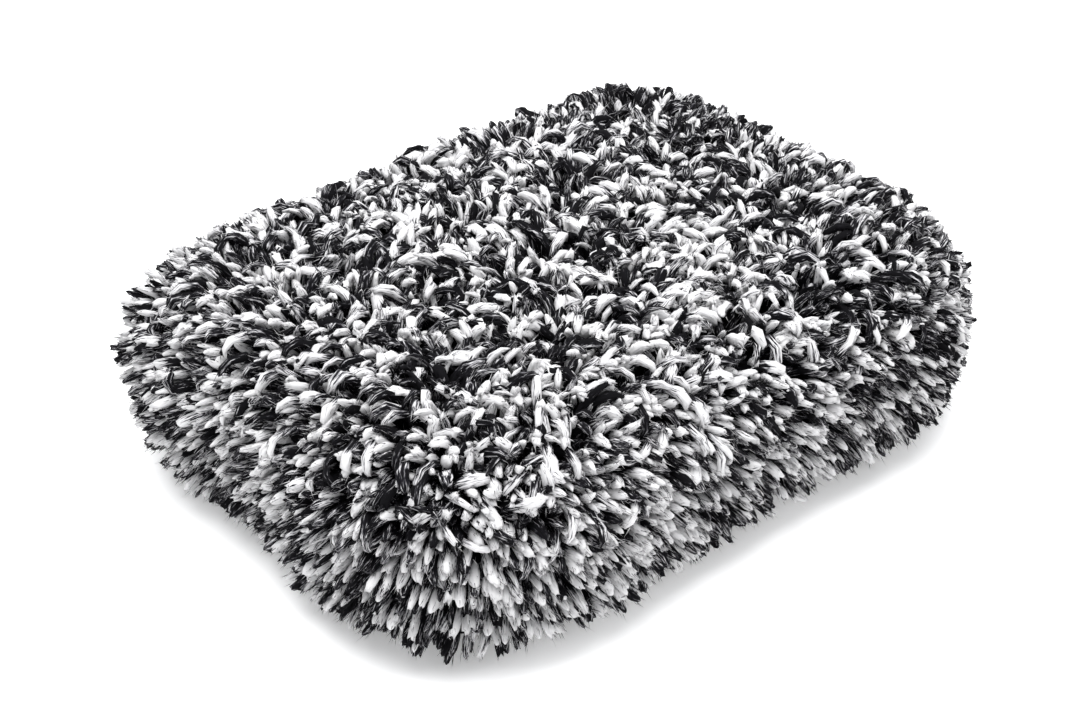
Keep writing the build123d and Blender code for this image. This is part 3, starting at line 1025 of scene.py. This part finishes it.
foam_material = cloth_material("open_cell_foam", (0.30, 0.29, 0.27), (0.62, 0.60, 0.55), 1.1 * MM,
                               across=("X", "Y", "Z"), roughness=0.95, sheen=0.0)
for panel in ("upper", "lower"):
    foam = merged_copy(panel + "_foam", panel + "_padding")
    bpy.ops.object.mode_set(mode="EDIT")
    bpy.ops.mesh.select_all(action="SELECT")
    bpy.ops.transform.shrink_fatten(value=-FOAM_DRAWN_IN)
    bpy.ops.object.mode_set(mode="OBJECT")
    grid = foam.modifiers.new("even_squares", "REMESH")
    grid.mode = "VOXEL"
    grid.voxel_size = FOAM_VOXEL
    bpy.ops.object.modifier_apply(modifier=grid.name)
    swell(foam, FOAM_PRESSURE, SWELLING_STEPS, FOAM_CAP)
    bpy.ops.object.shade_smooth()
    finish_piece(foam, foam_material, "foam", panel + "_foam")


# %% [markdown]
# ## Lining, binding and tape
#
# The hand pocket is lined with a thin smooth cloth that lies in loose wrinkles where nothing holds it. The
# raw edges of all the cloths are bound with a folded tape, and a narrower tape covers the joint of the
# cuff. Some of this is seen through the wrist opening. The stitches through the tapes stay as the CAD has
# them, so the tapes get only a slight ripple.

# %% Lining
lining_material = cloth_material("grey_pocket_lining", (0.045, 0.046, 0.050), (0.12, 0.122, 0.128), 0.7 * MM,
                                 roughness=0.7, sheen=0.2)
for number, panel in enumerate(("upper", "lower")):
    lining = cloth_copy(panel + "_lining", panel + "_pocket_lining", step=6 * MM)
    wave_crown(lining, size=7 * MM, amount=0.55 * MM, seed=70 + number)
    finish_piece(lining, lining_material, "lining", panel + "_lining")

# %% Binding and tape
TAPE_RISE, TAPE_PITCH = 0.12 * MM, 1.4 * MM
tape_material = cloth_material("black_twill_tape", (0.006, 0.006, 0.007), (0.035, 0.034, 0.037), 0.8 * MM,
                               across=("DIAGONAL", "Z"))
for node_name, name in (("edge_binding", "seam_binding"), ("mouth_tape", "cuff_joint_tape")):
    tape = cloth_copy(node_name, name, 5 * MM)
    points = get_points(tape)
    rises = np.sin(points[:, 0] / TAPE_PITCH) * np.sin(points[:, 1] / TAPE_PITCH)
    points[:, 2] += np.sign(points[:, 2] - seam_height) * TAPE_RISE * rises
    set_points(tape, points)
    finish_piece(tape, tape_material, "binding", node_name)


# %% [markdown]
# ## Rib cuff
#
# The cuff is a tube of rib knit, folded double round an elastic. Its ridges come from real columns of
# stitches, so they are modelled. The knit starts as a flat grid, as it comes off the machine, with a few
# points for each rib. The grid is rolled into the flat tube and folded back inside itself, and a Solidify
# modifier gives it the thickness of the knit. The stitches of each column are in the material, which reads
# a map that counts ribs one way and stitches the other way.

# %% Cuff measures
cuff_size = cuff_high - cuff_low
RIB_PITCH = 3.2 * MM
RIB_HEIGHT = 0.7 * MM
RIB_LINE_DEPTH = 0.4 * MM  # the ribs are counted along a line this far inside the cuff's face
KNIT_THICKNESS = 1.05 * MM
OUTER_DEPTH, INNER_DEPTH = 0.6 * MM, 2.6 * MM  # middles of the two layers, under the cuff's face
INNER_RIB_HEIGHT = 0.45 * MM
RIBS_FROM, RIBS_GROW_OVER = body_length / 2 - 26 * MM, 4 * MM
MOUTH_SLACK, SLACK_WAVES, SLACK_OVER = 0.5 * MM, 3, 5 * MM  # the mouth is never a perfect slot
KNIT_LENGTH, STITCH_ROW = 104 * MM, 1.9 * MM
tube_width = cuff_size[1] - 2 * RIB_HEIGHT
tube_height = cuff_size[2] - 2 * RIB_HEIGHT
straight = tube_width - tube_height
bend = tube_height / 2 - RIB_LINE_DEPTH
way_round = 2 * straight + 2 * math.pi * bend
rib_count = round(way_round / RIB_PITCH)
print("ribs:", rib_count, "tube width and height in mm:", round(tube_width / MM, 1),
      round(tube_height / MM, 1))


# %% Places round the cuff
def slot_place(share):
    """Position across the mitt and outward direction at shares of the way round the cuff."""
    s = (share % 1) * way_round
    after_top, after_bend = straight, straight + math.pi * bend
    after_bottom = 2 * straight + math.pi * bend
    turn_a, turn_b = (s - after_top) / bend, (s - after_bottom) / bend
    parts = [s < after_top, s < after_bend, s < after_bottom, s >= after_bottom]
    y_out = np.select(parts, [0 * s, np.sin(turn_a), 0 * s, -np.sin(turn_b)])
    z_out = np.select(parts, [1 + 0 * s, np.cos(turn_a), -1 + 0 * s, -np.cos(turn_b)])
    y_middle = np.select(parts, [s - straight / 2, straight / 2 + 0 * s, straight / 2 - (s - after_bend),
                                 -straight / 2 + 0 * s])
    return y_middle, y_out, z_out


def share_of(y, z):
    """The share of the way round the cuff of points beside it, the other way about."""
    turn_a, turn_b = np.arctan2(y - straight / 2, z), np.arctan2(-y - straight / 2, -z)
    s = np.select([y > straight / 2, y < -straight / 2, z > 0],
                  [straight + bend * turn_a, 2 * straight + bend * (math.pi + turn_b), y + straight / 2],
                  straight + math.pi * bend + straight / 2 - y)
    return s / way_round


# %% Where the knit lies, rolled and folded
stitches = get_points(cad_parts["hem_stitching"])
valley_angle = share_of(stitches[:, 1], stitches[:, 2] - seam_height) * rib_count * 2 * math.pi
valley = np.angle(np.exp(1j * valley_angle).mean())
POINTS_PER_RIB = 5
ROWS = 44
FOLD_ROWS = 8
deselect_everything()
bpy.ops.mesh.primitive_grid_add(x_subdivisions=rib_count * POINTS_PER_RIB, y_subdivisions=ROWS, size=1.0)
cuff = bpy.context.object
cuff.name = "knit_cuff"
flat = get_points(cuff)
share, row = flat[:, 0] + 0.5, (flat[:, 1] + 0.5) * ROWS
fold_radius = (INNER_DEPTH - OUTER_DEPTH) / 2
fold_middle = cuff_high[0] - fold_radius - KNIT_THICKNESS / 2
sleeve_rows = (ROWS - FOLD_ROWS) / 2
fold_turn = np.clip((row - sleeve_rows) / FOLD_ROWS, 0, 1) * math.pi
sleeve = np.minimum(row, ROWS - row).clip(0, sleeve_rows) / sleeve_rows
x = cuff_low[0] + (fold_middle - cuff_low[0]) * sleeve + fold_radius * np.sin(fold_turn)
depth = OUTER_DEPTH + fold_radius * (1 - np.cos(fold_turn))
ridge = 0.5 - 0.5 * np.cos(share * rib_count * 2 * math.pi - valley)
rib_rise = np.clip((x - RIBS_FROM) / RIBS_GROW_OVER, 0, 1)
outer_share = 0.5 + 0.5 * np.cos(fold_turn)
depth -= ridge * rib_rise * (RIB_HEIGHT * outer_share - INNER_RIB_HEIGHT * (1 - outer_share))
y_middle, y_out, z_out = slot_place(share)
off_line = bend + RIB_LINE_DEPTH - depth
slack = MOUTH_SLACK * np.sin(2 * math.pi * (SLACK_WAVES * share + 0.2))
slack *= np.clip((x - body_length / 2) / SLACK_OVER, 0, 1)
points = np.stack([x - np.abs(slack) * 0.8, y_middle + y_out * off_line,
                   seam_height + z_out * (off_line + slack * 0.5)], axis=1)
print("knit points:", len(points))

# %% Count the stitches and close the tube
knit_map = cuff.data.uv_layers.new(name="knit")
corner_vertex = np.empty(len(cuff.data.loops), np.int32)
cuff.data.loops.foreach_get("vertex_index", corner_vertex)
knit_places = np.stack([share * rib_count - valley / (2 * math.pi), row / ROWS * KNIT_LENGTH / STITCH_ROW],
                       axis=1)
knit_map.uv.foreach_set("vector", knit_places[corner_vertex].astype(np.float32).ravel())
set_points(cuff, points)
bpy.ops.object.mode_set(mode="EDIT")
bpy.ops.mesh.select_all(action="SELECT")
bpy.ops.mesh.remove_doubles(threshold=0.01 * MM)
bpy.ops.mesh.normals_make_consistent(inside=False)
bpy.ops.object.mode_set(mode="OBJECT")
wall = cuff.modifiers.new("knit_thickness", "SOLIDIFY")
wall.thickness = KNIT_THICKNESS
wall.offset = 0
bpy.ops.object.modifier_apply(modifier=wall.name)
bpy.ops.object.shade_smooth()


# %% Rib knit material
STITCH_SLANT = 1.8  # rows that the arm of a stitch rises for each rib across
STITCH_SHARE = 0.35


def rib_material():
    """Charcoal rib knit: each rib is a column of V stitches."""
    material, tree, shader = new_material("charcoal_rib_knit")
    place = node(tree, "ShaderNodeUVMap", uv_map="knit")
    parts = node(tree, "ShaderNodeSeparateXYZ", {"Vector": place.outputs["UV"]})
    from_middle = calc(tree, "ADD", calc(tree, "FRACT", parts.outputs["X"]), -0.5)
    arm = calc(tree, "ABSOLUTE", from_middle)
    slanted = calc(tree, "MULTIPLY_ADD", arm, STITCH_SLANT, parts.outputs["Y"])
    stitch = calc(tree, "SINE", calc(tree, "MULTIPLY", slanted, 2 * math.pi))
    fuzz = node(tree, "ShaderNodeTexNoise", {"Vector": node(tree, "ShaderNodeTexCoord").outputs["Object"],
                                             "Scale": 1400.0, "Detail": 3.0}).outputs["Fac"]
    knit_height = calc(tree, "MULTIPLY_ADD", stitch, STITCH_SHARE, fuzz)
    colour = ramp(tree, knit_height, [(0.1, (0.006, 0.006, 0.007)), (0.85, (0.055, 0.054, 0.058))])
    tree.links.new(colour.outputs["Color"], shader.inputs["Base Color"])
    relief = node(tree, "ShaderNodeBump", {"Height": knit_height, "Strength": 0.7, "Distance": 0.0004})
    tree.links.new(relief.outputs["Normal"], shader.inputs["Normal"])
    shader.inputs["Roughness"].default_value = 0.9
    shader.inputs["Specular IOR Level"].default_value = 0.2
    shader.inputs["Sheen Weight"].default_value = 0.3
    shader.inputs["Sheen Roughness"].default_value = 0.5
    return material


finish_piece(cuff, rib_material(), "rib_knit", "rib_cuff")


# %% [markdown]
# ## Thread and elastic
#
# The stitches and the elastic keep their CAD shapes. Thread is two strands twisted together, so its relief
# is a fine slanted wave. The elastic is ribbed across its width, where rubber cords run inside it.

# %% Thread and elastic materials
thread_material = cloth_material("black_sewing_thread", (0.008, 0.008, 0.009), (0.07, 0.07, 0.075),
                                 0.45 * MM, across=("DIAGONAL",), roughness=0.6, sheen=0.1)
elastic_material = cloth_material("black_woven_elastic", (0.010, 0.010, 0.010), (0.05, 0.05, 0.05), 1.0 * MM,
                                  across=("X",), roughness=0.75, sheen=0.1)
for node_name, material in (("edge_stitching", thread_material), ("hem_stitching", thread_material),
                            ("mouth_stitching", thread_material), ("cuff_elastic", elastic_material)):
    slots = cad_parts[node_name].material_slots
    for slot in slots:
        slot.material = material
    print(node_name, "material slots:", len(slots))
